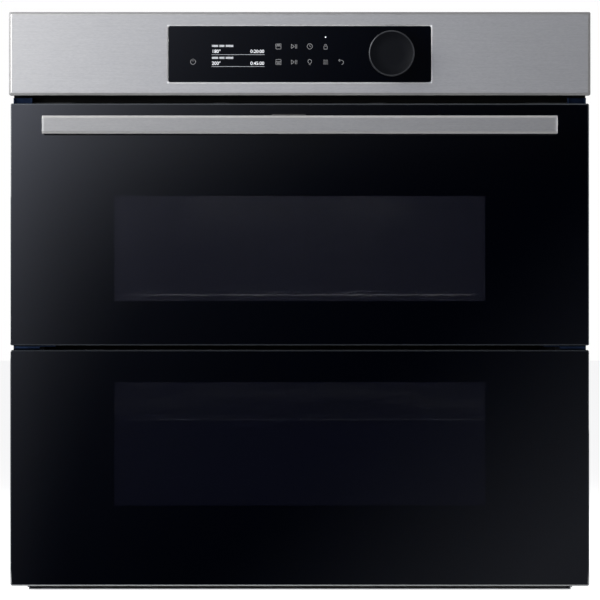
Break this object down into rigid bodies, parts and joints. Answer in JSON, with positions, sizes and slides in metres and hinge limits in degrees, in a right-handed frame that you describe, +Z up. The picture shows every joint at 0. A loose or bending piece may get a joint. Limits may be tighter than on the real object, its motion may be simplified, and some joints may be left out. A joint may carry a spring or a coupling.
{
  "type": "wall oven",
  "caption": "Built-in electric oven with a split drop-down door, long bar handle, release lever, push dial and a cavity that a divider parts in two.",
  "frame": {"origin": "middle of the footprint at the underside of the base pan", "axes": "+Z up, the door and control panel face -Y, +X to the right seen from the front"},
  "size_m": [0.595, 0.613, 0.5913],
  "materials": {
    "zinc": "zinc-plated sheet with a faint spangle",
    "arm_zinc": "dark blue passivated zinc plate",
    "enamel": "glossy vitreous enamel with fine pale flecks",
    "stainless": "stainless steel brushed along its length",
    "chrome": "chrome-plated wire",
    "black_glass": "black printed toughened glass, polished",
    "clear_glass": "clear toughened glass, polished",
    "wool": "yellow mineral wool with a matted surface",
    "black_steel": "satin black painted steel",
    "black_plastic": "moulded black plastic with a fine texture",
    "dial_plastic": "soft-touch charcoal plastic",
    "board": "green circuit board with solder mask",
    "heater": "heat-darkened steel tube",
    "braid": "woven glass-fibre braid over rubber"
  },
  "bodies": {
    "cabinet": {"base_pan": "zinc", "top_cover": "zinc", "back_panel": "zinc", "side_panel_left": "zinc", "side_panel_right": "zinc", "front_frame": "black_steel", "bay_floor": "zinc", "terminal_block": "black_plastic", "oven_cavity": "enamel", "insulation": "wool", "grill_element": "heater", "bottom_element": "heater", "lamp_lens": "clear_glass", "wire_rack": "chrome", "baking_tray": "enamel", "divider_plate": "stainless", "door_seal": "braid", "control_fascia": "stainless", "control_glass": "black_glass", "display_board": "board", "power_board": "board", "blower_housing": "black_plastic", "blower_motor": "zinc", "upper_fan_cover": "enamel", "lower_fan_cover": "enamel", "upper_ring_heater": "heater", "lower_ring_heater": "heater", "upper_fan_motor": "zinc", "lower_fan_motor": "zinc", "shelf_runner_left": "chrome", "shelf_runner_right": "chrome", "hinge_box_left": "zinc", "hinge_box_right": "zinc"},
    "full_door": {"lower_outer_glass": "black_glass", "lower_middle_glass": "clear_glass", "lower_inner_glass": "clear_glass", "lower_door_frame": "black_steel", "side_arm_left": "arm_zinc", "side_arm_right": "arm_zinc", "hinge_arm_left": "zinc", "hinge_arm_right": "zinc"},
    "upper_door": {"upper_outer_glass": "black_glass", "upper_middle_glass": "clear_glass", "upper_inner_glass": "clear_glass", "upper_door_frame": "black_steel", "mid_hinge_left": "arm_zinc", "mid_hinge_right": "arm_zinc", "handle_bar": "stainless", "handle_post_left": "black_steel", "handle_post_right": "black_steel", "lever_bracket": "black_plastic", "lever_spring": "stainless"},
    "lever": {"release_lever": "black_plastic"},
    "latch_left": {"latch_rod_left": "zinc"},
    "latch_right": {"latch_rod_right": "zinc"},
    "dial_shaft": {"dial_shaft": "stainless"},
    "dial": {"dial_knob": "dial_plastic"},
    "upper_fan": {"upper_fan_wheel": "zinc"},
    "lower_fan": {"lower_fan_wheel": "zinc"},
    "blower": {"blower_wheel": "black_plastic"}
  },
  "joints": [
    {"name": "door_tilt", "type": "hinge", "parent": "cabinet", "child": "full_door", "pos_m": [0, -0.2545, 0.012], "axis": [1, 0, 0], "range_deg": [0, 90], "stiffness_Nm_per_rad": 9, "springref_deg": -20.05},
    {"name": "upper_door_tilt", "type": "hinge", "parent": "full_door", "child": "upper_door", "pos_m": [0, -0.2615, 0.2478], "axis": [1, 0, 0], "range_deg": [0, 90], "stiffness_Nm_per_rad": 4, "springref_deg": -22.92},
    {"name": "lever_press", "type": "slide", "parent": "upper_door", "child": "lever", "axis": [0, 0, -1], "range_m": [0, 0.003], "stiffness_N_per_m": 900, "springref_m": -0.002, "deforming": ["lever_spring"]},
    {"name": "latch_left_slide", "type": "slide", "parent": "upper_door", "child": "latch_left", "axis": [1, 0, 0], "range_m": [0, 0.006]},
    {"name": "latch_right_slide", "type": "slide", "parent": "upper_door", "child": "latch_right", "axis": [-1, 0, 0], "range_m": [0, 0.006]},
    {"name": "dial_push", "type": "slide", "parent": "cabinet", "child": "dial_shaft", "axis": [0, 1, 0], "range_m": [0, 0.0018], "stiffness_N_per_m": 800, "springref_m": -0.0015},
    {"name": "dial_turn", "type": "hinge", "parent": "dial_shaft", "child": "dial", "pos_m": [0.0938, -0.2765, 0.5484], "axis": [0, 1, 0], "continuous": true},
    {"name": "upper_fan_spin", "type": "hinge", "parent": "cabinet", "child": "upper_fan", "pos_m": [0, 0.1705, 0.34], "axis": [0, 1, 0], "continuous": true},
    {"name": "lower_fan_spin", "type": "hinge", "parent": "cabinet", "child": "lower_fan", "pos_m": [0, 0.1705, 0.159], "axis": [0, 1, 0], "continuous": true},
    {"name": "blower_spin", "type": "hinge", "parent": "cabinet", "child": "blower", "pos_m": [0.06, 0.0875, 0.503], "axis": [0, 0, 1], "continuous": true}
  ],
  "couplings": [
    {"joint": "latch_left_slide", "follows": "lever_press", "ratio": 2},
    {"joint": "latch_right_slide", "follows": "lever_press", "ratio": 2}
  ]
}
